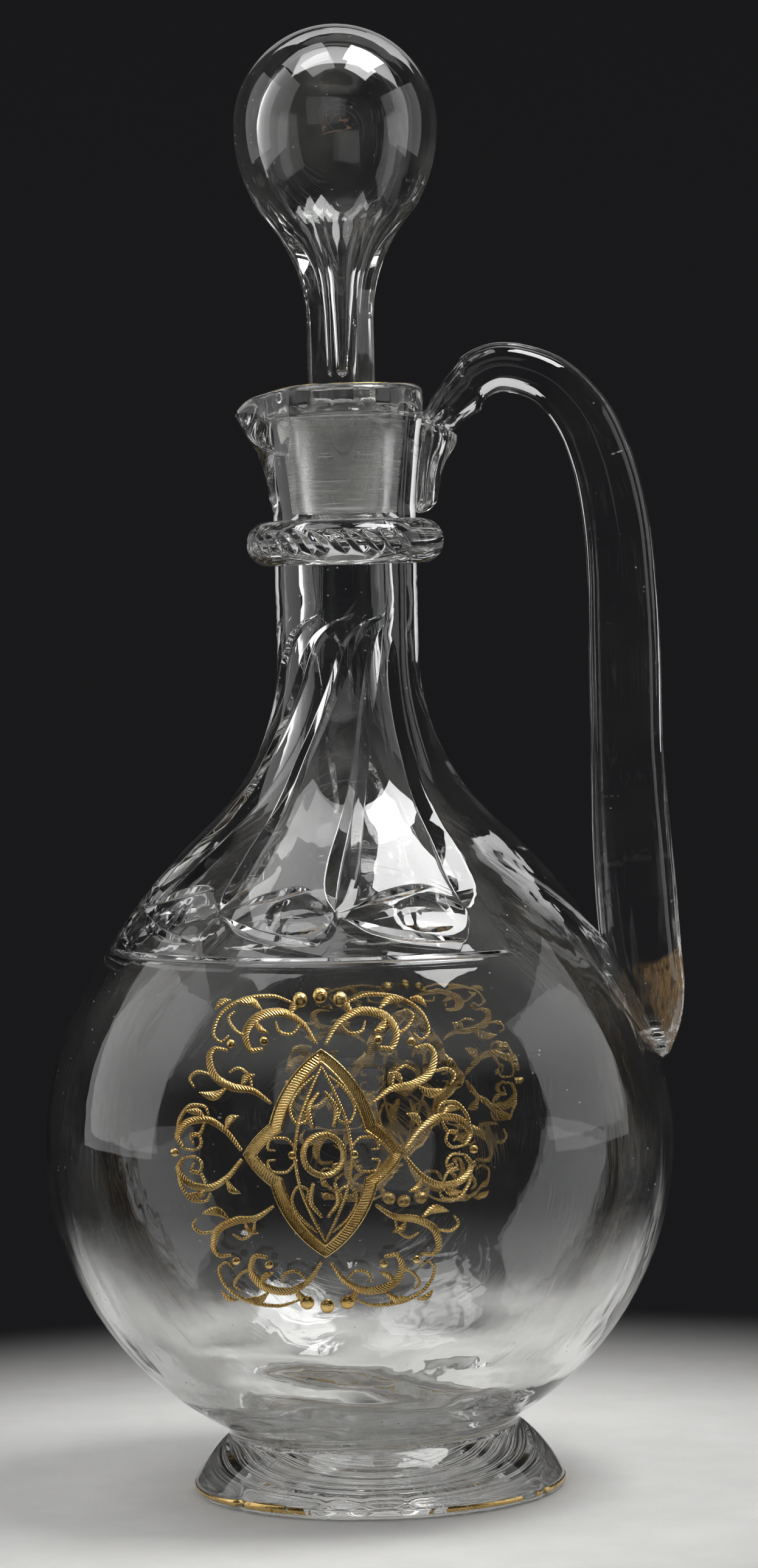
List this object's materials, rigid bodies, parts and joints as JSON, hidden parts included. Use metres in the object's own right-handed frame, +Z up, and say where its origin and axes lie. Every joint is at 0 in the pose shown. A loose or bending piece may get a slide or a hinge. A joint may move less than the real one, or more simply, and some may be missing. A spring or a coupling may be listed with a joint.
{
  "type": "glass decanter",
  "caption": "Footed round glass decanter with a pouring spout, arched handle, notched neck ring, cut shoulder, gilded ornament and a lift-out hollow stopper.",
  "frame": {"origin": "on the axis of the globe, in the plane that the foot stands on", "axes": "+Z up along the axis of the globe, +X towards the handle, -X towards the spout, -Y is the front with the larger gilded ornament"},
  "size_m": [0.1368, 0.1347, 0.3108],
  "materials": {
    "clear_glass": "clear polished lead crystal, ground inside the mouth and on the plug",
    "raised_gold": "raised burnished gilding, tooled with fine lines",
    "painted_gold": "thin worn painted gilding"
  },
  "bodies": {
    "decanter": {"vessel": "clear_glass", "foot": "clear_glass", "neck_ring": "clear_glass", "handle": "clear_glass", "front_gilt_frame": "raised_gold", "front_gilt_scrolls": "raised_gold", "front_gilt_beads": "raised_gold", "back_gilt_frame": "raised_gold", "back_gilt_scrolls": "raised_gold", "back_gilt_beads": "raised_gold", "foot_gilt_line": "painted_gold", "rim_gilt_line": "painted_gold"},
    "loose_stopper": {"stopper": "clear_glass"}
  },
  "joints": [
    {"name": "stopper_lift", "type": "slide", "parent": "decanter", "child": "loose_stopper", "axis": [0, 0, 1], "range_m": [0, 0.08]}
  ]
}
